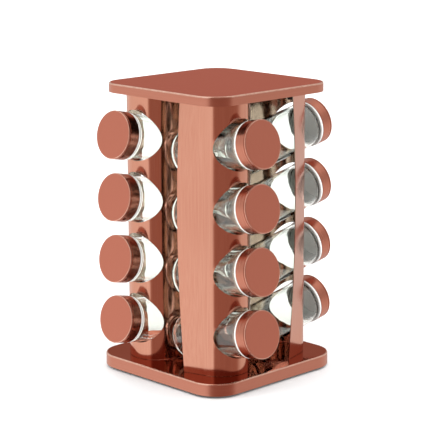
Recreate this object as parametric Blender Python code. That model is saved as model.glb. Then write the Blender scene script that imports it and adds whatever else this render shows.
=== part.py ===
"""Spice carousel: a square turning rack with four bent sheet posts, each holding four tilted
glass jars under metal-skinned lids. Metres, +Z up, standing on z = 0, turning about the Z axis.
Posts are numbered round the rack from the -Y side; jars in a post are numbered from the top."""
import math

import bmesh
import bpy
import numpy as np
from mathutils import Matrix, Vector

for ob in list(bpy.data.objects):
    bpy.data.objects.remove(ob, do_unlink=True)

# ---- overall sizes -------------------------------------------------------------------
RACK_HEIGHT = 0.2965      # ground to top face
NOSE_REACH = 0.0755       # rack's centre to the outermost line of a post
FOOT_LIFT = 0.0025        # base band's lower edge above the ground
BASE_STEP = 0.0062        # base stands out beyond the top all round
BASE_CORNER = 0.0296      # plan radius of the base's corners
BASE_BAND = 0.0123        # height of its side band
TOP_OVERHANG = 0.0055     # top's edge beyond the posts' heads
TOP_CORNER = 0.0253
TOP_BAND = 0.0094
EDGE_ROUND = 0.0010       # small rounding where a cover's band meets its face
SHEET = 0.0008            # metal sheet thickness
FIT = 0.0003              # gap left between pieces that touch or slide
POST_COUNT = 4
JARS_PER_POST = 4

# ---- jars and lids -------------------------------------------------------------------
JAR_RADIUS = 0.0232
JAR_TILT = 11.5           # degrees, lid end up
JAR_WALL = 0.0020
JAR_FLOOR = 0.0032
JAR_FOOT_EDGE = 0.0022
JAR_STOP_GAP = 0.0013     # jar's foot to the leg of the next post, which stops it
TOP_ROW_ROOM = 0.01328    # top row's lids to the lower edge of the top's band
LOW_JAR_ROOM = 0.00277    # lowest row's jars, at the foot, to the base's face
LID_STANDOFF = 0.0285     # post's outermost line to the lid's face centre
LID_OVERSIZE = 0.0009     # lid's radius beyond the jar's
LID_SKIN = 0.0006         # metal skin on the lid
LID_SKIN_DEPTH = 0.0132
LID_EDGE = 0.0007         # chamfer round the lid's face
CAP_RIM = 0.0020          # white rim that shows below the skin
CAP_FACE = 0.0012
NECK_STEP = 0.0025        # neck's radius below the jar's
THREAD_GAP = 0.0010       # sideways room between neck and cap, where the thread would be
HOLE_CLEARANCE = 0.0021   # between jar and hole all round
HOLE_REST = 0.0006        # what is left of it under the jar

# ---- posts ---------------------------------------------------------------------------
NOSE_MARGIN = 0.0041      # round nose of the channel, radius beyond the holes'
INNER_GAP = 0.0102        # nose's inner side to the rack's centre plane
OUTER_SPLAY_FOOT = 16.0   # degrees from straight back, outer leg at the foot
OUTER_SPLAY_TOP = 22.5
OUTER_SPLAY_BOW = 10.2    # extra at half height, where the sheet springs open
INNER_SPLAY = 8.0         # degrees
LEG_END = 0.0296          # legs' free edges to the rack's centre
FOOT_TAB_WIDTH = 0.014    # folded tab that is spot-welded down to the base
FOOT_TAB_LENGTH = 0.015

# ---- turntable under the base --------------------------------------------------------
FOOT_DISC_RADIUS = 0.0700
FOOT_DISC_THICK = 0.0025
FOOT_DISC_ROOM = 0.0020   # round the disc in the core's recess
CORE_LIFT = 0.0008        # core's rim above the band's lower edge
GRIP_RING_OUTER = 0.0660
GRIP_RING_INNER = 0.0560
GLIDE_OUTER = 0.0560
GLIDE_INNER = 0.0470
GLIDE_THICK = 0.0028
RIVET_RADIUS = 0.0030
RIVET_HEAD = 0.0065
RIVET_HEAD_THICK = 0.0014

# ---- frame inside the top ------------------------------------------------------------
POST_SOCKET = 0.0024      # how far the posts run up inside the top cover
CLIP_SIZE = 0.0060        # black blocks that hold the legs, square in plan
CLIP_DROP = 0.0075
CLIP_IN = 0.0055          # clip's centre to the leg's free edge, along the leg

# ---- fineness of round and bent surfaces -----------------------------------------------
ROUND_STEPS = 16
HOLE_STEPS = 28
DISC_STEPS = 32
CORNER_STEPS = 7
NOSE_STEPS = 14
LEG_STEPS = 3
POST_ROWS = 8
SMOOTH_BELOW = 35         # degrees between facets that shade as one surface

# ---- worked out from the above -------------------------------------------------------
TILT = math.radians(JAR_TILT)
HOLE_RADIUS = JAR_RADIUS + HOLE_CLEARANCE
HOLE_RISE = HOLE_CLEARANCE - HOLE_REST
NOSE_RADIUS = HOLE_RADIUS + NOSE_MARGIN
NOSE_CENTRE = NOSE_REACH - NOSE_RADIUS
POST_OFFSET = NOSE_RADIUS + INNER_GAP          # jar column's centre plane beside the centre
BASE_TOP = FOOT_LIFT + BASE_BAND
TOP_UNDER = RACK_HEIGHT - TOP_BAND
POST_FOOT = BASE_TOP + FIT
POST_HEAD = TOP_UNDER + POST_SOCKET
TOP_FRAME_UNDER = POST_HEAD + FIT
LID_RADIUS = JAR_RADIUS + LID_OVERSIZE
NECK_RADIUS = JAR_RADIUS - NECK_STEP
LID_REACH = NOSE_REACH + LID_STANDOFF
TOP_ROW = TOP_UNDER - TOP_ROW_ROOM - LID_RADIUS * math.cos(TILT)      # lid centres' height

coll = bpy.data.collections.new("spice_carousel")
cutters = bpy.data.collections.new("cutters")
for group in (coll, cutters):
    bpy.context.scene.collection.children.link(group)


def material(name, colour, metallic, roughness, transmission=0.0):
    mat = bpy.data.materials.new(name)
    mat.use_nodes = True
    bsdf = mat.node_tree.nodes["Principled BSDF"]
    bsdf.inputs["Base Color"].default_value = (*colour, 1.0)
    bsdf.inputs["Metallic"].default_value = metallic
    bsdf.inputs["Roughness"].default_value = roughness
    bsdf.inputs["Transmission Weight"].default_value = transmission
    mat.diffuse_color = (*colour, 1.0)
    return mat


COPPER = (0.60, 0.22, 0.15)


def add_object(name, mesh, look, matrix=None):
    """One node, with a Principled material of its own."""
    ob = bpy.data.objects.new(name, mesh)
    coll.objects.link(ob)
    if not mesh.materials:
        mesh.materials.append(None)
    ob.material_slots[0].link = 'OBJECT'
    ob.material_slots[0].material = material(name + "_mat", *look)
    if matrix is not None:
        ob.matrix_world = matrix
    return ob


def mesh_from(name, bm, smooth=True):
    bmesh.ops.recalc_face_normals(bm, faces=bm.faces)
    mesh = bpy.data.meshes.new(name)
    bm.to_mesh(mesh)
    bm.free()
    if smooth:
        mesh.shade_smooth()
        mesh.set_sharp_from_angle(angle=math.radians(SMOOTH_BELOW))
    return mesh


def rounded_square(side, radius, steps=CORNER_STEPS):
    half = side / 2 - radius
    points = []
    for k, (sx, sy) in enumerate(((1, 1), (-1, 1), (-1, -1), (1, -1))):
        for s in range(steps + 1):
            a = math.radians(90 * k) + math.radians(90) * s / steps
            points.append((sx * half + radius * math.cos(a), sy * half + radius * math.sin(a)))
    return points


def stack(name, rings):
    """Closed solid from rings of equal count, given bottom cap first, joined in order."""
    bm = bmesh.new()
    loops = [[bm.verts.new((x, y, z)) for x, y in outline] for outline, z in rings]
    for lower, upper in zip(loops[:-1], loops[1:]):
        for i, v in enumerate(lower):
            j = (i + 1) % len(lower)
            bm.faces.new((v, lower[j], upper[j], upper[i]))
    bm.faces.new(loops[0][::-1])
    bm.faces.new(loops[-1])
    return mesh_from(name, bm)


def pan(name, side, radius, under, top):
    """Upside-down pan of sheet: a flat face with a side band, open below."""
    def ring(inset, z):
        return rounded_square(side - 2 * inset, radius - inset), z
    edge = [ring(EDGE_ROUND * (1 - math.cos(a)), top - EDGE_ROUND * (1 - math.sin(a)))
            for a in np.radians((0, 45, 90))]
    return stack(name, [ring(SHEET, top - SHEET), ring(SHEET, under), ring(0.0, under)] + edge)


def lathe(name, profile, steps=ROUND_STEPS):
    """Solid of revolution about Z; the profile runs down the outer side from the axis or top."""
    bm = bmesh.new()
    rings = []
    for r, z in profile:
        if r == 0.0:
            rings.append([bm.verts.new((0.0, 0.0, z))])
        else:
            rings.append([bm.verts.new((r * math.cos(2 * math.pi * i / steps),
                                        r * math.sin(2 * math.pi * i / steps), z))
                          for i in range(steps)])
    pairs = list(zip(rings[:-1], rings[1:]))
    if profile[0][0] != 0.0:
        pairs.append((rings[-1], rings[0]))
    for a, b in pairs:
        for i in range(steps):
            j = (i + 1) % steps
            face = [a[i % len(a)], b[i % len(b)], b[j % len(b)], a[j % len(a)]]
            bm.faces.new(list(dict.fromkeys(face)))
    return mesh_from(name, bm)


def cylinder(name, radius, z0, z1, steps=ROUND_STEPS):
    return lathe(name, ((0.0, z1), (radius, z1), (radius, z0), (0.0, z0)), steps)


def box(name, size, centre):
    bm = bmesh.new()
    bmesh.ops.create_cube(bm, size=1.0)
    bmesh.ops.transform(bm, matrix=Matrix.Translation(centre) @ Matrix.Diagonal((*size, 1.0)),
                        verts=bm.verts)
    return mesh_from(name, bm, smooth=False)


def joined(name, mesh, steps):
    """Mesh after a chain of Boolean steps, each (operation, mesh, matrix)."""
    work = bpy.data.objects.new(name + "_work", mesh)
    cutters.objects.link(work)
    work.hide_render = True
    for n, (operation, tool_mesh, matrix) in enumerate(steps):
        tool = bpy.data.objects.new(f"{name}_{operation.lower()}_{n}", tool_mesh)
        cutters.objects.link(tool)
        tool.hide_render = True
        tool.display_type = 'WIRE'
        tool.matrix_world = matrix
        mod = work.modifiers.new(tool.name, 'BOOLEAN')
        mod.operation = operation
        mod.solver = 'EXACT'
        mod.object = tool
    bpy.context.view_layer.update()
    depsgraph = bpy.context.evaluated_depsgraph_get()
    result = bpy.data.meshes.new_from_object(work.evaluated_get(depsgraph))
    result.name = name
    work.modifiers.clear()
    return result


def turned(k):
    """Quarter turns about the rack's axis; k = 0 is the -Y side."""
    return Matrix.Rotation(2 * math.pi * k / POST_COUNT, 4, 'Z')


# ---- post ----------------------------------------------------------------------------
def post_section(rise):
    """Outer surface of the channel at one height (rise 0 foot, 1 top), seen from above: a straight
    outer leg, the round nose it is tangent to, and the straight inner leg."""
    splay = math.radians(OUTER_SPLAY_FOOT + (OUTER_SPLAY_TOP - OUTER_SPLAY_FOOT) * rise
                         + OUTER_SPLAY_BOW * 4 * rise * (1 - rise))
    inner = math.radians(INNER_SPLAY)
    nose = [(-POST_OFFSET + NOSE_RADIUS * math.sin(a), -NOSE_CENTRE - NOSE_RADIUS * math.cos(a))
            for a in np.linspace(splay - math.pi / 2, math.pi / 2 - inner, NOSE_STEPS + 1)]
    points = []
    for (x, y), slope in ((nose[0], -math.tan(splay)), (nose[-1], math.tan(inner))):
        run = -LEG_END - y
        points.append([(x + slope * run * t, y + run * t)
                       for t in np.linspace(0.0, 1.0, LEG_STEPS + 1)[1:]])
    return points[0][::-1] + nose + points[1]


def section_normals(points):
    """Unit vectors pointing to the inside of the channel."""
    p = np.array(points)
    d = np.gradient(p, axis=0)
    n = np.stack([-d[:, 1], d[:, 0]], axis=1)
    return n / np.linalg.norm(n, axis=1)[:, None]


def post_sheet():
    bm = bmesh.new()
    rows = []
    for r in range(POST_ROWS + 1):
        rise = r / POST_ROWS
        z = POST_FOOT + (POST_HEAD - POST_FOOT) * rise
        outside = post_section(rise)
        inside = np.array(outside) + SHEET * section_normals(outside)
        loop = list(outside) + [tuple(q) for q in inside[::-1]]
        rows.append([bm.verts.new((x, y, z)) for x, y in loop])
    for lower, upper in zip(rows[:-1], rows[1:]):
        for i, v in enumerate(lower):
            j = (i + 1) % len(lower)
            bm.faces.new((v, lower[j], upper[j], upper[i]))
    half = len(rows[0]) // 2
    for row in (rows[0], rows[-1]):
        for i in range(half - 1):
            bm.faces.new((row[i], row[i + 1], row[-2 - i], row[-1 - i]))
    return mesh_from("post_sheet", bm)


HEAD_SECTION = post_section(1.0)
TOP_SIDE = 2 * (max(abs(c) for point in HEAD_SECTION for c in point) + TOP_OVERHANG)
BASE_SIDE = TOP_SIDE + 2 * BASE_STEP
LEG_FREE = -HEAD_SECTION[-1][0]         # next post's inner leg, free edge to the centre plane
JAR_PAST_CENTRE = LEG_FREE - JAR_STOP_GAP - JAR_RADIUS * math.sin(TILT)
JAR_LENGTH = (LID_REACH + JAR_PAST_CENTRE) / math.cos(TILT)      # lid's face to jar's foot
LOW_ROW = BASE_TOP + LOW_JAR_ROOM + JAR_LENGTH * math.sin(TILT) + JAR_RADIUS * math.cos(TILT)
ROW_PITCH = (TOP_ROW - LOW_ROW) / (JARS_PER_POST - 1)


def jar_frame(row):
    """Lid face centre of a -Y side jar, with local +Z along the jar's axis towards the lid."""
    face = Vector((-POST_OFFSET, -LID_REACH, TOP_ROW - ROW_PITCH * row))
    turn = Matrix.Rotation(math.pi / 2 - TILT, 4, 'X')
    return Matrix.Translation(face) @ turn


hole_tool = cylinder("hole_tool", HOLE_RADIUS, -LID_STANDOFF - NOSE_RADIUS, -LID_SKIN_DEPTH,
                     HOLE_STEPS)
tab_front = -NOSE_REACH + SHEET / 2
tab_tool = box("tab_tool", (FOOT_TAB_WIDTH, FOOT_TAB_LENGTH, SHEET),
               (-POST_OFFSET, tab_front + FOOT_TAB_LENGTH / 2, POST_FOOT + SHEET / 2))
steps = [('UNION', tab_tool, Matrix.Identity(4))]
for row in range(JARS_PER_POST):
    steps.append(('DIFFERENCE', hole_tool, Matrix.Translation((0, 0, HOLE_RISE)) @ jar_frame(row)))
post_mesh = joined("post", post_sheet(), steps)
for k in range(POST_COUNT):
    add_object(f"post_{k + 1}", post_mesh, (COPPER, 1.0, 0.28), turned(k))

# ---- jars, caps and lid skins --------------------------------------------------------
SHOULDER = LID_SKIN_DEPTH + FIT + CAP_RIM + FIT        # below the lid's face
MOUTH = LID_SKIN + FIT + CAP_FACE + FIT
CAP_RADIUS = LID_RADIUS - LID_SKIN - FIT
NECK_WALL_IN = NECK_RADIUS - JAR_WALL
jar_mesh = lathe("jar_glass", (
    (0.0, -JAR_LENGTH + JAR_FLOOR), (JAR_RADIUS - JAR_WALL, -JAR_LENGTH + JAR_FLOOR),
    (JAR_RADIUS - JAR_WALL, -SHOULDER - JAR_WALL), (NECK_WALL_IN, -SHOULDER - JAR_WALL),
    (NECK_WALL_IN, -MOUTH), (NECK_RADIUS, -MOUTH), (NECK_RADIUS, -SHOULDER), (JAR_RADIUS, -SHOULDER),
    (JAR_RADIUS, -JAR_LENGTH + JAR_FOOT_EDGE), (JAR_RADIUS - JAR_FOOT_EDGE, -JAR_LENGTH),
    (0.0, -JAR_LENGTH)))
CAP_BORE = NECK_RADIUS + THREAD_GAP
cap_top = -LID_SKIN - FIT
rim_top = -LID_SKIN_DEPTH - FIT
cap_mesh = lathe("lid_cap", (
    (0.0, cap_top), (CAP_RADIUS, cap_top), (CAP_RADIUS, rim_top), (LID_RADIUS, rim_top),
    (LID_RADIUS, rim_top - CAP_RIM), (CAP_BORE, rim_top - CAP_RIM),
    (CAP_BORE, cap_top - CAP_FACE), (0.0, cap_top - CAP_FACE)))
skin_mesh = lathe("lid_skin", (
    (0.0, 0.0), (LID_RADIUS - LID_EDGE, 0.0), (LID_RADIUS, -LID_EDGE), (LID_RADIUS, -LID_SKIN_DEPTH),
    (LID_RADIUS - LID_SKIN, -LID_SKIN_DEPTH), (LID_RADIUS - LID_SKIN, -LID_SKIN), (0.0, -LID_SKIN)))
for k in range(POST_COUNT):
    for row in range(JARS_PER_POST):
        place = turned(k) @ jar_frame(row)
        tag = f"{k + 1}_{row + 1}"
        add_object(f"jar_glass_{tag}", jar_mesh, ((0.80, 0.88, 0.84), 0.0, 0.02, 1.0), place)
        add_object(f"lid_cap_{tag}", cap_mesh, ((0.85, 0.85, 0.84), 0.0, 0.40), place)
        add_object(f"lid_skin_{tag}", skin_mesh, (COPPER, 1.0, 0.35), place)

# ---- base and top covers -------------------------------------------------------------
add_object("base_tray", pan("base_tray", BASE_SIDE, BASE_CORNER, FOOT_LIFT, BASE_TOP),
           (COPPER, 1.0, 0.22))
add_object("top_cover", pan("top_cover", TOP_SIDE, TOP_CORNER, TOP_UNDER, RACK_HEIGHT),
           (COPPER, 1.0, 0.40))

# ---- turntable -----------------------------------------------------------------------
BLACK = ((0.015, 0.015, 0.016), 0.0, 0.45)
disc_top = FOOT_LIFT + FOOT_DISC_THICK
glide_under = disc_top + FIT
core_under = glide_under + GLIDE_THICK + FIT
core_top = BASE_TOP - SHEET - FIT
rivet_top = core_top - FIT
RIVET_BORE = RIVET_RADIUS + FIT


def ring_mesh(name, outer, inner, z0, z1):
    return lathe(name, ((inner, z1), (outer, z1), (outer, z0), (inner, z0)), DISC_STEPS)


add_object("grip_ring", ring_mesh("grip_ring", GRIP_RING_OUTER, GRIP_RING_INNER, 0.0,
                                  FOOT_LIFT - FIT), ((0.03, 0.03, 0.03), 0.0, 0.80))
add_object("turntable_foot", ring_mesh("turntable_foot", FOOT_DISC_RADIUS, RIVET_BORE,
                                       FOOT_LIFT, disc_top), BLACK)
add_object("glide_ring", ring_mesh("glide_ring", GLIDE_OUTER, GLIDE_INNER, glide_under,
                                   glide_under + GLIDE_THICK), ((0.75, 0.75, 0.72), 0.0, 0.45))
core_inset = SHEET + FIT
core_outline = rounded_square(BASE_SIDE - 2 * core_inset, BASE_CORNER - core_inset)
head_seat = rivet_top - RIVET_HEAD_THICK - FIT
core_plate = stack("core_plate", ((core_outline, FOOT_LIFT + CORE_LIFT), (core_outline, core_top)))
core_cuts = [('DIFFERENCE', cylinder(name, radius, z0, z1, DISC_STEPS), Matrix.Identity(4))
             for name, radius, z0, z1 in (
                 ("recess_tool", FOOT_DISC_RADIUS + FOOT_DISC_ROOM, 0.0, core_under),
                 ("bore_tool", RIVET_BORE, 0.0, RACK_HEIGHT),
                 ("seat_tool", RIVET_HEAD + FIT, head_seat, RACK_HEIGHT))]
core_mesh = joined("base_core", core_plate, core_cuts)
add_object("base_core", core_mesh, BLACK)
head_under = FOOT_LIFT - FIT
add_object("pivot_rivet", lathe("pivot_rivet", (
    (0.0, rivet_top), (RIVET_HEAD, rivet_top), (RIVET_HEAD, rivet_top - RIVET_HEAD_THICK),
    (RIVET_RADIUS, rivet_top - RIVET_HEAD_THICK), (RIVET_RADIUS, head_under),
    (RIVET_HEAD, head_under), (RIVET_HEAD, head_under - RIVET_HEAD_THICK),
    (0.0, head_under - RIVET_HEAD_THICK))), ((0.55, 0.55, 0.55), 1.0, 0.30))

# ---- frame inside the top, with clips that hold the posts' legs ------------------------
frame_inset = SHEET + FIT
frame_outline = rounded_square(TOP_SIDE - 2 * frame_inset, TOP_CORNER - frame_inset)
frame_top = RACK_HEIGHT - SHEET - FIT
head_in = section_normals(HEAD_SECTION)
clip_half = CLIP_SIZE / 2 + SHEET + FIT
clips = []
clip_under = TOP_FRAME_UNDER - CLIP_DROP
clip_root = (TOP_FRAME_UNDER + frame_top) / 2
clip_mesh = box("clip_tool", (CLIP_SIZE, CLIP_SIZE, clip_root - clip_under),
                (0.0, 0.0, (clip_root + clip_under) / 2))
for end, step in ((0, 1), (len(HEAD_SECTION) - 1, -1)):
    edge = np.array(HEAD_SECTION[end])
    along = np.array(HEAD_SECTION[end + step]) - edge
    along /= np.linalg.norm(along)
    inward = head_in[end]
    centre = edge + along * CLIP_IN + inward * clip_half
    heading = math.atan2(along[1], along[0])
    for k in range(POST_COUNT):
        clips.append(('UNION', clip_mesh,
                      turned(k) @ Matrix.Translation((*centre, 0.0)) @ Matrix.Rotation(heading, 4, 'Z')))
add_object("top_frame", joined("top_frame", stack("frame_plate", ((frame_outline, TOP_FRAME_UNDER),
                                                                  (frame_outline, frame_top))),
                               clips), BLACK)
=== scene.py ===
# %% [markdown]
# # A turning spice rack in copper-coloured metal
# The rack is a square base and a square top joined by four bent sheet posts. Each post has four
# large round holes, and a tilted glass jar lies in each. Everything turns on a ring under the base.
# We load the measured solids first, because every piece below takes its place from them.

# %% Load the measured solids
import math

import bpy
import numpy as np
from mathutils import Matrix, Vector
from mathutils.geometry import delaunay_2d_cdt


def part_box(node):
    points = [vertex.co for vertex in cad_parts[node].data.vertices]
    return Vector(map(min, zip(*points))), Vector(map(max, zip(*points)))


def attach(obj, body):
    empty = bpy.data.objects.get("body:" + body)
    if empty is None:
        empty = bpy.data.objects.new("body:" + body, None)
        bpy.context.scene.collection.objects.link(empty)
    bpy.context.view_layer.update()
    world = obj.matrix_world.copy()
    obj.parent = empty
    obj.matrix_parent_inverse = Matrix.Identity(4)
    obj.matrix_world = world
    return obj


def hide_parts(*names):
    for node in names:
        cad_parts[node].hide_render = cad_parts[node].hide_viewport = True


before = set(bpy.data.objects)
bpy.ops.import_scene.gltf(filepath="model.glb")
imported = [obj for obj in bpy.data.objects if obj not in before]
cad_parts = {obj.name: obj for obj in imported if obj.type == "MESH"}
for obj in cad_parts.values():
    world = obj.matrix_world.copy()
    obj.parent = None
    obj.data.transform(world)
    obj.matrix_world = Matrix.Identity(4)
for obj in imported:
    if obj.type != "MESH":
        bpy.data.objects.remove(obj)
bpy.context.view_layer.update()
POSTS = 4
ROWS = 4
MM = 0.001

# %% [markdown]
# ## Camera
# The rack is seen from one corner and a little from above, through a long lens, which keeps the
# upright edges nearly parallel. The lens sits far back, at the distance where the near corner looks
# only slightly larger than the far one. A small upward shift frames the rack without tilting it.

# %% Camera
CAMERA_PLACE = Vector((-1.1850, -1.2062, 0.5274))
CAMERA_TURN, CAMERA_PITCH, CAMERA_ROLL = -44.44, 12.60, -0.18     # degrees
camera_data = bpy.data.cameras.new("studio_camera")
camera_data.sensor_width = 36.0
camera_data.lens = 141.7
camera_data.shift_y = 0.0214
camera_data.clip_start, camera_data.clip_end = 0.05, 50.0
camera = bpy.data.objects.new("studio_camera", camera_data)
camera.matrix_world = (Matrix.Translation(CAMERA_PLACE)
                       @ Matrix.Rotation(math.radians(CAMERA_TURN), 4, 'Z')
                       @ Matrix.Rotation(math.radians(90.0 - CAMERA_PITCH), 4, 'X')
                       @ Matrix.Rotation(math.radians(CAMERA_ROLL), 4, 'Z'))
bpy.context.scene.collection.objects.link(camera)
bpy.context.scene.camera = camera
print("camera", tuple(round(v, 3) for v in camera.location), "lens", camera_data.lens, "mm")

# %% [markdown]
# ## Node and colour helpers
# Colours are written as the hex codes a designer would pick. Shaders work in linear light, so one
# function converts them. A second function adds any node with its settings and links, and the
# materials and the modelling trees below are all built with it.

# %% Helpers
def from_hex(code, alpha=1.0):
    """sRGB hex to the linear colour that shaders use."""
    parts = [int(code[i:i + 2], 16) / 255 for i in (1, 3, 5)]
    return tuple(c / 12.92 if c <= 0.04045 else ((c + 0.055) / 1.055) ** 2.4 for c in parts) + (alpha,)


def add_node(tree, kind, values=None, links=None, **settings):
    """One node: settings are its properties, values and links go by input name or number."""
    new = tree.nodes.new(kind)
    for key, value in settings.items():
        setattr(new, key, value)
    for key, value in (values or {}).items():
        new.inputs[key].default_value = value
    for key, socket in (links or {}).items():
        tree.links.new(socket, new.inputs[key])
    return new


def start_material(name, **shader):
    """An empty node material with one Principled shader; returns its tree and that shader."""
    made = bpy.data.materials.new(name)
    made.use_nodes = True
    tree = made.node_tree
    tree.nodes.clear()
    surface = add_node(tree, "ShaderNodeBsdfPrincipled",
                       {key.replace("_", " "): value for key, value in shader.items()})
    add_node(tree, "ShaderNodeOutputMaterial", links={"Surface": surface.outputs[0]})
    return made, tree, surface


def grain(tree, per_m, source="Object", detail=3.0, roughness=0.6):
    """Noise whose cells are 1/per_m metres long in X, Y and Z; long thin cells are brush lines."""
    if source == "Object":
        place = add_node(tree, "ShaderNodeTexCoord").outputs["Object"]
    else:
        place = add_node(tree, "ShaderNodeAttribute", attribute_name=source).outputs["Vector"]
    scaled = add_node(tree, "ShaderNodeMapping", {"Scale": per_m}, {"Vector": place})
    return add_node(tree, "ShaderNodeTexNoise", {"Scale": 1.0, "Detail": detail,
                                                 "Roughness": roughness},
                    {"Vector": scaled.outputs[0]}).outputs["Fac"]


def spread(tree, fac, low, high, narrow=(0.3, 0.7)):
    """Noise stretched to run from low to high."""
    return add_node(tree, "ShaderNodeMapRange", {"From Min": narrow[0], "From Max": narrow[1],
                                                 "To Min": low, "To Max": high},
                    {"Value": fac}).outputs[0]


def tint(tree, fac, dark, light):
    """Colour between two hex codes."""
    return add_node(tree, "ShaderNodeMix", {"A": from_hex(dark), "B": from_hex(light)},
                    {"Factor": fac}, data_type='RGBA').outputs["Result"]


def relief(tree, surface, height, depth):
    """Bump of a real depth in metres."""
    bump = add_node(tree, "ShaderNodeBump", {"Strength": 1.0, "Distance": depth},
                    {"Height": height})
    tree.links.new(bump.outputs[0], surface.inputs["Normal"])


print("helpers ready")

# %% [markdown]
# ## Copper-coloured steel
# The posts and covers are thin stainless steel with a hard copper-coloured coating over a brushed
# surface. Brushing leaves fine scratches along one direction. Real lines are about 0.1 mm apart,
# which is too fine to see at this size, so they are drawn 0.3 to 0.6 mm apart. Where the grain runs
# up the posts the cells are long in Z; on the covers' bands they run level, so they are short in Z.
# The top face is bead-blasted dull, and the base's face is polished almost to a mirror. Pressed
# edges are painted a paler copper, a painted highlight for the line of light they catch. A deep coloured
# coating keeps its colour at a low angle, which is what the edge colour of each finish sets.

# %% Copper finishes
COPPER_DARK, COPPER_LIGHT = "#C98B76", "#D29A85"
BARE_EDGE = "#FFFFFF"        # at a low angle metals turn white; a deep coloured coating does so less


def copper(name, per_m, rough, depth, source="Object", dark=COPPER_DARK, light=COPPER_LIGHT,
           edge=BARE_EDGE):
    made, tree, surface = start_material(name, Metallic=1.0, Specular_Tint=from_hex(edge))
    lines = grain(tree, per_m, source)
    tree.links.new(tint(tree, spread(tree, lines, 0.0, 1.0), dark, light),
                   surface.inputs["Base Color"])
    tree.links.new(spread(tree, lines, *rough), surface.inputs["Roughness"])
    relief(tree, surface, lines, depth)
    return made


LINE = 1 / (0.6 * MM)
post_copper = copper("brushed_copper_upright", (LINE, LINE, 1 / (70 * MM)), (0.11, 0.16), 0.0015 * MM)
band_copper = copper("brushed_copper_band", (1 / (60 * MM), 1 / (60 * MM), 1 / (0.3 * MM)),
                     (0.30, 0.36), 0.001 * MM, dark="#BE7C69", light="#C68673")
top_copper = copper("blasted_copper_face", (1 / (0.4 * MM),) * 3, (0.38, 0.44), 0.0015 * MM,
                    dark="#C98673", light="#CF8D7A", edge="#F0ACA5")
tray_copper = copper("polished_copper_face", (1 / (30 * MM),) * 3, (0.05, 0.08), 0.001 * MM,
                     dark="#BA7F6E", light="#BE8473", edge="#CDA29F")
lid_side_copper = copper("brushed_copper_lid_side", (1 / (30 * MM), 1 / (30 * MM), 1 / (0.4 * MM)),
                         (0.22, 0.28), 0.0015 * MM, source="local", dark="#BE7A67", light="#C88571")
lid_face_copper = copper("satin_copper_lid_face", (1 / (0.4 * MM), 1 / (30 * MM), 1.0),
                         (0.33, 0.38), 0.0003 * MM, source="local", dark="#C87C69", light="#CC826E",
                         edge="#F0D8D2")
# painted highlight: a paler copper on pressed edges and rims stands in for the line of light they catch
highlight_edge_copper = copper("worn_copper_edge", (1 / (3 * MM),) * 3, (0.16, 0.26), 0.001 * MM,
                     dark="#D9A694", light="#EBC4B4")
print("copper finishes ready")

# %% [markdown]
# ## Bare steel, glass and plastics
# Inside the posts the steel is bare; its colour is painted darker and bronze-tinted, a painted shade for
# the shaded inside of the channels. The jars are clear soda-lime glass, IOR 1.52, which looks faintly
# green where it is thick; pressed glass is never quite flat, so a slow wave bends what is seen through
# it. The lids' inner caps are white polypropylene, the frames black ABS with a fine moulded grain, and
# the foot ring is rubber.

# %% Other finishes
# painted shade: the bare inner steel is darkened and bronze-tinted for the shade inside the channels
shaded_inner_steel, tree, surface = start_material("thinly_coated_steel", Metallic=1.0)
rolled = grain(tree, (LINE, LINE, 1 / (50 * MM)))
tree.links.new(tint(tree, spread(tree, rolled, 0.0, 1.0), "#A08C7C", "#AE9A88"),
               surface.inputs["Base Color"])
tree.links.new(spread(tree, rolled, 0.12, 0.20), surface.inputs["Roughness"])

jar_glass, tree, surface = start_material("clear_soda_lime_glass", IOR=1.52, Roughness=0.0,
                                          Transmission_Weight=1.0)
slow_wave = grain(tree, (1 / (14 * MM), 1 / (14 * MM), 1 / (30 * MM)), "local", detail=1.0)
tree.links.new(tint(tree, slow_wave, "#F4F8F3", "#FBFDFA"), surface.inputs["Base Color"])
relief(tree, surface, slow_wave, 0.25 * MM)


def moulded(name, dark, light, rough, cell, depth, source="Object"):
    """Plastic or rubber with a fine even grain."""
    made, tree, surface = start_material(name)
    skin = grain(tree, (1 / cell,) * 3, source)
    tree.links.new(tint(tree, skin, dark, light), surface.inputs["Base Color"])
    tree.links.new(spread(tree, skin, *rough), surface.inputs["Roughness"])
    relief(tree, surface, skin, depth)
    return made


white_cap = moulded("white_polypropylene", "#E9E8E4", "#F6F5F2", (0.30, 0.42), 2 * MM, 0.01 * MM,
                    "local")
black_abs = moulded("black_moulded_abs", "#0E0E0F", "#1A1A1B", (0.38, 0.55), 0.6 * MM, 0.02 * MM)
grip_rubber = moulded("black_grip_rubber", "#151515", "#222221", (0.70, 0.85), 0.8 * MM, 0.03 * MM)
slide_plastic = moulded("white_acetal", "#DAD8D0", "#E8E6DF", (0.30, 0.40), 1.5 * MM, 0.01 * MM)
rivet_steel, tree, surface = start_material("plain_rivet_steel", Metallic=1.0)
drawn = grain(tree, (1 / (0.8 * MM),) * 3)
tree.links.new(tint(tree, drawn, "#9A9A98", "#B8B8B5"), surface.inputs["Base Color"])
tree.links.new(spread(tree, drawn, 0.25, 0.40), surface.inputs["Roughness"])
print("finishes:", len(bpy.data.materials))

# %% [markdown]
# ## A lathe made of nodes
# Jars, caps, lid skins and the turntable's rings are all turned shapes: a profile swept round an
# axis. One Geometry Nodes tree does it for every piece. Its input is the profile as a chain of
# edges; it rounds each corner by the radius stored on that corner, lays a grid over it with one
# column for each step round the axis, and bends the grid into a closed skin. Merging near points
# closes the seam and the poles. Named inputs set the fineness, so near pieces can be finer.

# %% Lathe tree
def new_tree(name, *sockets):
    """A Geometry Nodes tree with geometry in and out and the named inputs (name, kind, value)."""
    tree = bpy.data.node_groups.new(name, "GeometryNodeTree")
    tree.interface.new_socket("Geometry", in_out='INPUT', socket_type='NodeSocketGeometry')
    for label, kind, value in sockets:
        made = tree.interface.new_socket(label, in_out='INPUT', socket_type=kind)
        if value is not None:
            made.default_value = value
    tree.interface.new_socket("Geometry", in_out='OUTPUT', socket_type='NodeSocketGeometry')
    return tree, tree.nodes.new("NodeGroupInput"), tree.nodes.new("NodeGroupOutput")


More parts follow.
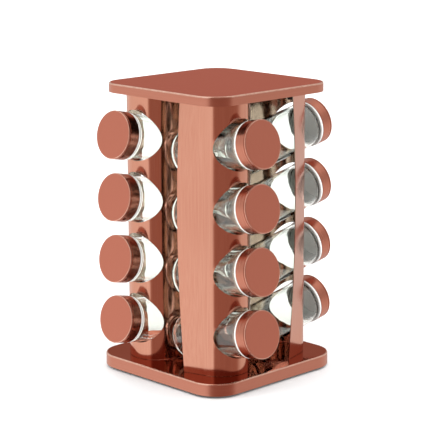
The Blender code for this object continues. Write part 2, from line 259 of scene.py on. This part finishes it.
lathe, given, out = new_tree("turned_shape", ("Steps", 'NodeSocketInt', 64),
                             ("Corner Steps", 'NodeSocketInt', 4),
                             ("Material", 'NodeSocketMaterial', None))
corner = add_node(lathe, "GeometryNodeInputNamedAttribute", {"Name": "round"}, data_type='FLOAT')
chain = add_node(lathe, "GeometryNodeMeshToCurve", links={0: given.outputs["Geometry"]})
eased = add_node(lathe, "GeometryNodeFilletCurve", {"Limit Radius": True},
                 {"Curve": chain.outputs[0], "Radius": corner.outputs[0],
                  "Count": given.outputs["Corner Steps"]}, mode='POLY')
size = add_node(lathe, "GeometryNodeAttributeDomainSize", links={0: eased.outputs[0]},
                component='CURVE')
around = add_node(lathe, "ShaderNodeMath", {1: 1.0}, {0: given.outputs["Steps"]}, operation='ADD')
sheet = add_node(lathe, "GeometryNodeMeshGrid", links={"Vertices X": around.outputs[0],
                                                       "Vertices Y": size.outputs["Point Count"]})
number = add_node(lathe, "GeometryNodeInputIndex").outputs[0]
column = add_node(lathe, "ShaderNodeMath", links={0: number, 1: size.outputs["Point Count"]},
                  operation='DIVIDE')
column = add_node(lathe, "ShaderNodeMath", links={0: column.outputs[0]}, operation='FLOOR')
row = add_node(lathe, "ShaderNodeMath", links={0: number, 1: size.outputs["Point Count"]},
               operation='MODULO')
where = add_node(lathe, "GeometryNodeInputPosition")
point = add_node(lathe, "GeometryNodeSampleIndex", links={0: eased.outputs[0],
                                                          "Value": where.outputs[0],
                                                          "Index": row.outputs[0]},
                 data_type='FLOAT_VECTOR', domain='POINT')
turn = add_node(lathe, "ShaderNodeMath", links={0: column.outputs[0], 1: given.outputs["Steps"]},
                operation='DIVIDE')
turn = add_node(lathe, "ShaderNodeMath", {1: math.tau}, {0: turn.outputs[0]}, operation='MULTIPLY')
bent = add_node(lathe, "ShaderNodeVectorRotate", links={"Vector": point.outputs[0],
                                                        "Angle": turn.outputs[0]},
                rotation_type='Z_AXIS')
bent = add_node(lathe, "GeometryNodeSetPosition", links={"Geometry": sheet.outputs[0],
                                                         "Position": bent.outputs[0]})
closed = add_node(lathe, "GeometryNodeMergeByDistance", {"Distance": 1e-6},
                  {"Geometry": bent.outputs[0]})
facing = add_node(lathe, "GeometryNodeFlipFaces", links={"Mesh": closed.outputs[0]})
smooth = add_node(lathe, "GeometryNodeSetShadeSmooth", links={"Geometry": facing.outputs[0]})
real = add_node(lathe, "GeometryNodeRealizeInstances", links={"Geometry": smooth.outputs[0]})
painted = add_node(lathe, "GeometryNodeSetMaterial", links={"Geometry": real.outputs[0],
                                                            "Material": given.outputs["Material"]})
lathe.links.new(painted.outputs[0], out.inputs[0])


def run_tree(name, mesh, tree, **values):
    """The plain mesh that a tree makes from a starting mesh."""
    holder = bpy.data.objects.new(name, mesh)
    bpy.context.scene.collection.objects.link(holder)
    mod = holder.modifiers.new(tree.name, 'NODES')
    mod.node_group = tree
    for item in tree.interface.items_tree:
        key = item.name.replace(" ", "_")
        if item.in_out == 'INPUT' and key in values:
            mod[item.identifier] = values[key]
    ready = bpy.context.evaluated_depsgraph_get()
    made = bpy.data.meshes.new_from_object(holder.evaluated_get(ready))
    made.name = name
    bpy.data.objects.remove(holder)
    return made


HOLD = 1.7        # supporting rings stand this many corner radii away, to keep flats flat


def turned(name, profile, steps, finish, corner_steps=4):
    """Skin of revolution from (radius, height, corner radius) points in mm. The profile runs up
    the inside and down the outside; one that starts off the axis is closed into a ring."""
    profile = [tuple(map(float, p)) for p in profile]
    if profile[0][0] > 0:
        (r0, z0, _), (r1, z1, _) = profile[0], profile[-1]
        middle = ((r0 + r1) / 2, (z0 + z1) / 2, 0.0)
        profile = [middle] + profile + [middle]
    points = []
    for before, (r, z, ease), after in zip([None] + profile[:-1], profile, profile[1:] + [None]):
        support = []
        for other in (before, after) if ease > 0 else ():
            way = np.array(other[:2]) - (r, z)
            length = np.linalg.norm(way)
            support.append((*((r, z) + way / length * min(HOLD * ease, 0.45 * length)), 0.0))
        points += support[:1] + [(r, z, ease)] + support[1:]
    mesh = bpy.data.meshes.new(name + "_profile")
    mesh.from_pydata([(r * MM, 0.0, z * MM) for r, z, _ in points],
                     [(i, i + 1) for i in range(len(points) - 1)], [])
    mesh.attributes.new("round", 'FLOAT', 'POINT').data.foreach_set(
        "value", [ease * MM for _, _, ease in points])
    made = run_tree(name, mesh, lathe, Steps=steps, Corner_Steps=corner_steps, Material=finish)
    made.materials.clear()
    made.materials.append(finish)
    made.polygons.foreach_set("material_index", [0] * len(made.polygons))
    return made


def placed(name, mesh, body, *nodes, slot=None, matrix=None):
    """A finished piece in its place: matrix goes into the mesh, so the object stays at the origin.
    The shape's own coordinates are kept as an attribute for patterns that follow it."""
    mesh = mesh.copy()
    mesh.name = name
    own = np.empty(len(mesh.vertices) * 3, np.float32)
    mesh.vertices.foreach_get("co", own)
    if "local" not in mesh.attributes:
        mesh.attributes.new("local", 'FLOAT_VECTOR', 'POINT').data.foreach_set("vector", own)
    if matrix is not None:
        mesh.transform(matrix)
    piece = bpy.data.objects.new(name, mesh)
    bpy.context.scene.collection.objects.link(piece)
    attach(piece, body)
    if nodes:
        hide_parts(*nodes)
    return piece


print("lathe ready")

# %% [markdown]
# ## Where the jars lie
# Every jar leans back at the same angle. A jar's own frame has its origin at the middle of the
# lid's face and +Z out through the lid, so one jar can be modelled upright and then laid in place.
# The lid skins in the measured solids give the rows' heights and the posts' sideways offset; the reach
# from the centre is a given number.

# %% Jar frames
JAR_TILT = math.radians(11.5)
LID_RADIUS, LID_SKIN_DEPTH = 24.1, 13.2         # mm
low_1, high_1 = (np.array(corner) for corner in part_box("lid_skin_1_1"))
POST_OFFSET = -(low_1[0] + high_1[0]) / 2
rows = []
for r in range(ROWS):
    low, high = (np.array(corner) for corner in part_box(f"lid_skin_1_{r + 1}"))
    rows.append(high[2] - LID_RADIUS * MM * math.cos(JAR_TILT))
LID_REACH = 0.1040


def quarter(k):
    return Matrix.Rotation(math.tau * k / POSTS, 4, 'Z')


def jar_place(k, r):
    return (quarter(k) @ Matrix.Translation((-POST_OFFSET, -LID_REACH, rows[r]))
            @ Matrix.Rotation(math.pi / 2 - JAR_TILT, 4, 'X'))


print("lid centres above the ground:", [round(h / MM, 1) for h in rows], "mm")

# %% [markdown]
# ## Jars
# A spice jar is pressed and blown soda-lime glass: straight sides about 2 mm thick, a heavier foot
# with a shallow hollow under it so that it stands on a ring, a round shoulder, and a narrow neck
# that takes the cap. It is one closed skin, inside and outside, because light has to pass through
# two real surfaces of each wall to bend as it does in glass.

# %% Jars
JAR_RADIUS, JAR_LENGTH, NECK_RADIUS, MOUTH = 23.2, 107.8, 20.7, 2.4          # mm
SHOULDER = 15.8
jar_mesh = turned("jar", [
    (0, -JAR_LENGTH + 4.6, 0), (12, -JAR_LENGTH + 4.3, 6), (21.2, -JAR_LENGTH + 3.0, 2.6),
    (21.2, -SHOULDER - 3.2, 3.0), (18.7, -SHOULDER - 0.6, 1.2), (18.7, -MOUTH, 0.7),
    (NECK_RADIUS, -MOUTH, 0.7), (NECK_RADIUS, -SHOULDER, 0.5), (JAR_RADIUS, -SHOULDER, 1.6),
    (JAR_RADIUS, -JAR_LENGTH, 2.6), (17.5, -JAR_LENGTH, 1.0), (15.5, -JAR_LENGTH + 1.3, 1.0),
    (0, -JAR_LENGTH + 1.7, 0)], 56, jar_glass)
for k in range(POSTS):
    for r in range(ROWS):
        tag = f"{k + 1}_{r + 1}"
        placed("jar_" + tag, jar_mesh, "jar_" + tag, "jar_glass_" + tag, slot="jar_glass",
               matrix=jar_place(k, r))
print("jars:", POSTS * ROWS, "of", len(jar_mesh.polygons), "faces")

# %% [markdown]
# ## Lids
# Each lid is a white plastic screw cap with a thin metal shell pressed over it. The shell is drawn
# from sheet: a fine groove runs round the side just behind the face, and the bead in front of it
# catches a bright line of light. Below the shell only the cap's white rim shows. Face and side carry
# different grain, so they are two finishes; the rounded rim round the face is painted a paler copper, a
# painted highlight.

# %% Lids
RIM = 2.0
cap_mesh = turned("cap", [
    (0, -2.1, 0), (21.7, -2.1, 0.4), (21.7, -SHOULDER + 0.3, 0.2), (24.0, -SHOULDER + 0.3, 0.45),
    (24.0, -SHOULDER + 0.3 + RIM, 0.35), (22.6, -SHOULDER + 0.3 + RIM, 0.1), (22.6, -0.9, 0.3),
    (0, -0.9, 0)], 56, white_cap, 3)
BEAD, GROOVE = 1.6, 0.45           # the bead's height, and the groove's depth behind it
FACE_RIM, FACE_DEPTH, RIM_DEPTH = 1.0, 0.5, 0.8      # the rim round the face, which gets the painted highlight, in mm
skin_mesh = turned("skin", [
    (0, -0.6, 0), (22.9, -0.6, 0.2), (22.9, -LID_SKIN_DEPTH, 0.1), (LID_RADIUS, -LID_SKIN_DEPTH, 0.2),
    (LID_RADIUS, -BEAD - 0.9, 0.2), (LID_RADIUS - GROOVE, -BEAD - 0.45, 0.2),
    (LID_RADIUS, -BEAD, 0.3), (LID_RADIUS, 0, 0.8), (0, 0, 0)], 72, lid_side_copper)
for finish in (lid_face_copper, highlight_edge_copper):
    skin_mesh.materials.append(finish)
for face in skin_mesh.polygons:
    across, height = math.hypot(*face.center.xy) / MM, face.center.z / MM
    if height > -FACE_DEPTH and across < LID_RADIUS - FACE_RIM:
        face.material_index = 1
    # the rounded rim round the face gets the painted highlight copper
    elif height > -RIM_DEPTH and across > LID_RADIUS - FACE_RIM:
        face.material_index = 2
# the profile above runs down the inside, so its faces are turned to point outwards
for mesh in (cap_mesh, skin_mesh):
    mesh.flip_normals()
for k in range(POSTS):
    for r in range(ROWS):
        tag = f"{k + 1}_{r + 1}"
        placed("cap_" + tag, cap_mesh, "lid_" + tag, "lid_cap_" + tag, slot="cap_plastic",
               matrix=jar_place(k, r))
        placed("lid_" + tag, skin_mesh, "lid_" + tag, "lid_skin_" + tag, slot="lid_copper",
               matrix=jar_place(k, r))
print("lids:", POSTS * ROWS)

# %% [markdown]
# ## Posts
# A post is a strip of thin sheet bent into a channel: a round nose facing out and two straight legs
# behind it. The outer leg springs open at mid height, so its free edge bows. The four holes are
# punched along the line of the jars, so on the round nose their edges wrap round it. We draw the
# strip flat first, as the maker's blank is, with the hole outlines in it, and fill it with even
# triangles that keep to the outlines. Every point is then bent to its true place on the nose or a
# leg, which keeps the reflections smooth right up to the holes. Solidify gives the sheet its
# thickness and puts the inner finish on the inside and the edges.

# %% Post section
NOSE_RADIUS, NOSE_REACH, INNER_SPLAY = 0.0294, 0.0755, 8.0
SPLAY_FOOT, SPLAY_TOP, SPLAY_BOW = 16.0, 22.5, 10.2       # degrees, outer leg
LEG_END, SHEET = 0.0296, 0.0008
HOLE_RADIUS, HOLE_RISE, HOLE_POINTS = 0.0253, 0.0015, 96
NOSE_CENTRE = NOSE_REACH - NOSE_RADIUS
low, high = (np.array(corner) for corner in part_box("post_1"))
FOOT_Z, HEAD_Z = low[2], high[2]
HOLE_SIDE = -NOSE_RADIUS * math.asin(HOLE_RADIUS / NOSE_RADIUS) - MM      # just beyond the holes


def leg(splay):
    """Where the nose ends, as an angle from its middle, and the leg's length to the free edge."""
    angle = math.pi / 2 - splay
    return angle, (NOSE_CENTRE + NOSE_RADIUS * math.cos(angle) - LEG_END) / math.cos(splay)


def outer_splay(z):
    rise = (z - FOOT_Z) / (HEAD_Z - FOOT_Z)
    return math.radians(SPLAY_FOOT + (SPLAY_TOP - SPLAY_FOOT) * rise + SPLAY_BOW * 4 * rise * (1 - rise))


INNER = math.radians(INNER_SPLAY)
inner_end, inner_run = leg(INNER)
foot_end, foot_run = leg(outer_splay(FOOT_Z))
LEFT_EDGE, RIGHT_EDGE = -NOSE_RADIUS * foot_end - foot_run, NOSE_RADIUS * inner_end + inner_run


def bend(s, z):
    """Place on the outer surface for a distance s along the blank and a height z. The outer leg is
    stretched a little to reach its free edge; the holes' part of the blank isn't."""
    splay = outer_splay(z)
    end, run = leg(splay)
    if s < HOLE_SIDE:
        s = HOLE_SIDE + (s - HOLE_SIDE) * ((-NOSE_RADIUS * end - run - HOLE_SIDE)
                                           / (LEFT_EDGE - HOLE_SIDE))
    angle = min(max(s / NOSE_RADIUS, -end), inner_end)
    spare = s - angle * NOSE_RADIUS
    side = splay if spare < 0 else INNER
    x = NOSE_RADIUS * math.sin(angle) + spare * math.sin(side)
    y = -NOSE_CENTRE - NOSE_RADIUS * math.cos(angle) + abs(spare) * math.cos(side)
    return x - POST_OFFSET, y, z


print("strip", round((RIGHT_EDGE - LEFT_EDGE) / MM), "x", round((HEAD_Z - FOOT_Z) / MM), "mm")

# %% Post blank and bend
ACROSS, UP = 0.0018, 0.0045


def hole_outline(lid_height):
    """The hole's edge on the flat blank."""
    points = []
    for a in np.linspace(0, math.tau, HOLE_POINTS, endpoint=False):
        angle = math.asin(HOLE_RADIUS * math.cos(a) / NOSE_RADIUS)
        y = NOSE_CENTRE + NOSE_RADIUS * math.cos(angle)
        axis = lid_height + HOLE_RISE - (LID_REACH - y) * math.tan(JAR_TILT)
        points.append((NOSE_RADIUS * angle, axis + HOLE_RADIUS * math.sin(a) / math.cos(JAR_TILT)))
    return np.array(points)


outlines = [hole_outline(h) for h in rows]
s_steps = np.linspace(LEFT_EDGE, RIGHT_EDGE, int((RIGHT_EDGE - LEFT_EDGE) / ACROSS))
z_steps = np.linspace(FOOT_Z, HEAD_Z, int((HEAD_Z - FOOT_Z) / UP))
grid = np.array([(s, z) for s in s_steps for z in z_steps])


def inside(points, outline, margin=0.0):
    """Whether points lie in an outline, or nearer to it than margin."""
    near = np.zeros(len(points), bool)
    odd = np.zeros(len(points), bool)
    for (x0, y0), (x1, y1) in zip(outline, np.roll(outline, -1, axis=0)):
        crosses = (points[:, 1] < y0) != (points[:, 1] < y1)
        odd ^= crosses & (points[:, 0] < x0 + (points[:, 1] - y0) * (x1 - x0) / (y1 - y0 or 1.0))
        near |= np.hypot(points[:, 0] - x0, points[:, 1] - y0) < margin
    return odd | near


keep = np.ones(len(grid), bool)
for outline in outlines:
    keep &= ~inside(grid, outline, 0.0012)
flat = [Vector(p) for p in grid[keep]]
edges = []
for outline in outlines:
    first = len(flat)
    flat += [Vector(p) for p in outline]
    edges += [(first + i, first + (i + 1) % HOLE_POINTS) for i in range(HOLE_POINTS)]
filled = delaunay_2d_cdt(flat, edges, [], 0, 1e-7)
points, faces = filled[0], filled[2]
centres = np.array([np.mean([points[i] for i in face], axis=0) for face in faces])
solid = np.ones(len(faces), bool)
for outline in outlines:
    solid &= ~inside(centres, outline)
blank = bpy.data.meshes.new("post_blank")
blank.from_pydata([bend(*p) for p in points], [], [f for f, ok in zip(faces, solid) if ok])
blank.shade_smooth()
if blank.polygons[0].normal.dot(Vector((blank.polygons[0].center.x + POST_OFFSET,
                                        blank.polygons[0].center.y + NOSE_CENTRE, 0))) < 0:
    blank.flip_normals()
for finish in (post_copper, shaded_inner_steel):
    blank.materials.append(finish)
holder = bpy.data.objects.new("post_holder", blank)
bpy.context.scene.collection.objects.link(holder)
wall = holder.modifiers.new("wall", 'SOLIDIFY')
wall.thickness, wall.offset = SHEET, -1.0
wall.material_offset = wall.material_offset_rim = 1
post_mesh = bpy.data.meshes.new_from_object(
    holder.evaluated_get(bpy.context.evaluated_depsgraph_get()))
bpy.data.objects.remove(holder)
post_mesh.set_sharp_from_angle(angle=math.radians(40))
for k in range(POSTS):
    placed(f"post_sheet_{k + 1}", post_mesh, "carousel", f"post_{k + 1}", slot="copper_steel",
           matrix=quarter(k))
print("post:", len(post_mesh.polygons), "faces, holes", len(outlines))

# %% [markdown]
# ## Base and top
# Both are pressed pans turned upside down: a flat face, a tight round, and a band. The round is
# painted a paler copper, a painted highlight for the pale line of light along the top's edge. Each is
# built from rings that follow a round-cornered square; the face and the band get different finishes.

# %% Base and top
CORNER_STEPS, EDGE_STEPS = 20, 5
LEVEL, ROUNDED = 0.995, 0.1          # least upward normal of the face, and of the pressed edge


def square_ring(side, radius, z):
    half = side / 2 - radius
    ring = []
    for k, (sx, sy) in enumerate(((1, 1), (-1, 1), (-1, -1), (1, -1))):
        for a in np.linspace(0, math.pi / 2, CORNER_STEPS + 1) + math.pi / 2 * k:
            ring.append((sx * half + radius * math.cos(a), sy * half + radius * math.sin(a), z))
    return ring


def pan(name, node, corner, edge, band_finish, face_finish):
    """Pressed pan that fills the box of its node."""
    low, high = (np.array(c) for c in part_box(node))
    side = high[0] - low[0]
    rings = []

    def ring(inset, z):
        rings.append(square_ring(side - 2 * inset, corner - inset, z))

    top = high[2]
    for inset in (0.012, edge + SHEET + HOLD * edge, edge + SHEET):
        ring(inset, top - SHEET)
    ring(SHEET, top - SHEET - edge)
    ring(SHEET, low[2])
    ring(0.0, low[2])
    ring(0.0, low[2] + SHEET)
    for z in np.linspace(low[2] + 2 * SHEET, top - (1 + HOLD) * edge, 3):
        ring(0.0, z)
    for a in np.linspace(0, math.pi / 2, EDGE_STEPS + 1):
        ring(edge * (1 - math.cos(a)), top - edge * (1 - math.sin(a)))
    ring((1 + HOLD) * edge, top)
    ring(0.012, top)
    count = len(rings[0])
    faces = [(r * count + i, r * count + (i + 1) % count,
              (r + 1) * count + (i + 1) % count, (r + 1) * count + i)
             for r in range(len(rings) - 1) for i in range(count)]
    last = (len(rings) - 1) * count
    faces += [tuple(range(count))[::-1], tuple(range(last, last + count))]
    mesh = bpy.data.meshes.new(name)
    mesh.from_pydata([p for r in rings for p in r], [], faces)
    mesh.shade_smooth()
    mesh.set_sharp_from_angle(angle=math.radians(40))
    for finish in (band_finish, face_finish, highlight_edge_copper):
        mesh.materials.append(finish)
    for face in mesh.polygons:
        up = face.normal.z
        # faces on the round between the face and the band get the painted highlight copper
        face.material_index = 1 if up > LEVEL else 2 if up > ROUNDED else 0
    return placed(name, mesh, "carousel", node, slot="copper_steel")


base = pan("base_pan", "base_tray", 0.0296, 0.0012, band_copper, tray_copper)
top = pan("top_pan", "top_cover", 0.0253, 0.0015, band_copper, top_copper)
print("pans:", len(base.data.polygons), "faces each")

# %% Plain finishes on what stays as measured
for name, finish in (("base_core", black_abs), ("top_frame", black_abs),
                     ("turntable_foot", black_abs), ("grip_ring", grip_rubber),
                     ("glide_ring", slide_plastic), ("pivot_rivet", rivet_steel)):
    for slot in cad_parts[name].material_slots:
        slot.material = finish

# %% [markdown]
# ## Studio
# The rack stands on a white floor in a soft, even light. Polished metal shows the room rather than
# the light that falls on it, so the room needs a design of its own: a broad bright wall to the
# left, a gap with a sharp edge that stays dark beside the lens, and a dimmer wall to the right. We
# paint those walls on the world by compass direction, for mirror rays only. The floor is left out of
# mirror rays too: seen from above, an upright mirror would show little but white floor.

# %% Floor
floor_mesh = bpy.data.meshes.new("floor")
FLOOR = 6.0
floor_mesh.from_pydata([(-FLOOR, -FLOOR, 0), (FLOOR, -FLOOR, 0), (FLOOR, FLOOR, 0),
                        (-FLOOR, FLOOR, 0)], [], [(0, 1, 2, 3)])
floor = bpy.data.objects.new("floor", floor_mesh)
bpy.context.scene.collection.objects.link(floor)
floor.visible_glossy = False
floor_white, tree, surface = start_material("white_studio_floor", Roughness=0.9)
surface.inputs["Base Color"].default_value = from_hex("#F4F4F4")
floor_mesh.materials.append(floor_white)
print("floor", 2 * FLOOR, "m")

# %% Room walls, by compass direction
view_side = math.radians(CAMERA_TURN)
LEFT = Vector((-math.cos(view_side), -math.sin(view_side), 0))
TO_CAMERA = Vector((math.sin(view_side), -math.cos(view_side), 0))
# degrees left of the lens, and the wall's colour from there on
WALLS = ((-180, "#C6BAB4"), (-150, "#CFC4BE"), (-125, "#DED8D3"), (-85, "#D8CFC9"), (-66, "#A27C70"),
         (-22, "#9A7468"), (-15, "#9E786C"), (20, "#9E786C"), (26, "#AC887C"), (31, "#F8F4F0"),
         (140, "#EEE8E2"), (165, "#C6BAB4"))
ROOM_STRENGTH = 1.0
# the walls' brightness by height, as the sine of the height angle: lit near the ground and from overhead
HEIGHTS = ((-1.0, 1.2), (-0.15, 1.25), (0.15, 1.0), (0.5, 1.0), (0.75, 1.35), (1.0, 1.35))
FLOOR_LIGHT = 1.9        # even light for what isn't a mirror, enough to keep the floor white

world = bpy.data.worlds.new("studio_room")
bpy.context.scene.world = world
world.use_nodes = True
tree = world.node_tree
tree.nodes.clear()
way = add_node(tree, "ShaderNodeTexCoord").outputs["Generated"]
sideways = add_node(tree, "ShaderNodeVectorMath", {1: LEFT}, {0: way}, operation='DOT_PRODUCT')
forward = add_node(tree, "ShaderNodeVectorMath", {1: TO_CAMERA}, {0: way}, operation='DOT_PRODUCT')
compass = add_node(tree, "ShaderNodeMath", links={0: sideways.outputs["Value"],
                                                  1: forward.outputs["Value"]}, operation='ARCTAN2')
compass = add_node(tree, "ShaderNodeMapRange", {"From Min": -math.pi, "From Max": math.pi},
                   {"Value": compass.outputs[0]})
walls = add_node(tree, "ShaderNodeValToRGB", links={"Fac": compass.outputs[0]})
stops = walls.color_ramp.elements
while len(stops) > 1:
    stops.remove(stops[-1])
stops[0].position, stops[0].color = 0.0, from_hex(WALLS[0][1])
for degrees, code in WALLS[1:]:
    stops.new((degrees + 180) / 360).color = from_hex(code)
height = add_node(tree, "ShaderNodeSeparateXYZ", links={0: way}).outputs["Z"]
height = add_node(tree, "ShaderNodeMapRange", {"From Min": -1.0}, {"Value": height}).outputs[0]
lit = add_node(tree, "ShaderNodeFloatCurve", links={"Value": height})
curve = lit.mapping.curves[0]
for sine, bright in HEIGHTS[1:-1]:
    curve.points.new((sine + 1) / 2, bright / 2)
for end, (_, bright) in ((0, HEIGHTS[0]), (-1, HEIGHTS[-1])):
    curve.points[end].location = (curve.points[end].location[0], bright / 2)
lit.mapping.update()
lit = add_node(tree, "ShaderNodeMath", {1: 2 * ROOM_STRENGTH}, {0: lit.outputs[0]},
               operation='MULTIPLY')
room = add_node(tree, "ShaderNodeBackground", links={"Color": walls.outputs["Color"],
                                                     "Strength": lit.outputs[0]})
white = (1.0, 1.0, 1.0, 1.0)
backdrop = add_node(tree, "ShaderNodeBackground", {"Color": white, "Strength": 1.0})
daylight = add_node(tree, "ShaderNodeBackground", {"Color": white, "Strength": FLOOR_LIGHT})
seen = add_node(tree, "ShaderNodeLightPath")
bounced = add_node(tree, "ShaderNodeMath", links={0: seen.outputs["Is Diffuse Ray"],
                                                  1: seen.outputs["Is Glossy Ray"]},
                   operation='MAXIMUM')
even = add_node(tree, "ShaderNodeMixShader", links={0: bounced.outputs[0], 1: backdrop.outputs[0],
                                                    2: daylight.outputs[0]})
# inside a jar light bounces many times and comes out pale, so those rays see the white studio too
direct = add_node(tree, "ShaderNodeMath", {1: 0.5}, {0: seen.outputs["Transmission Depth"]},
                  operation='LESS_THAN')
direct = add_node(tree, "ShaderNodeMath", links={0: seen.outputs["Is Glossy Ray"],
                                                 1: direct.outputs[0]}, operation='MULTIPLY')
mirror = add_node(tree, "ShaderNodeMixShader", links={0: direct.outputs[0], 1: even.outputs[0],
                                                      2: room.outputs[0]})
add_node(tree, "ShaderNodeOutputWorld", links={"Surface": mirror.outputs[0]})
bpy.context.scene.view_settings.view_transform = 'Standard'
print("walls:", len(WALLS))
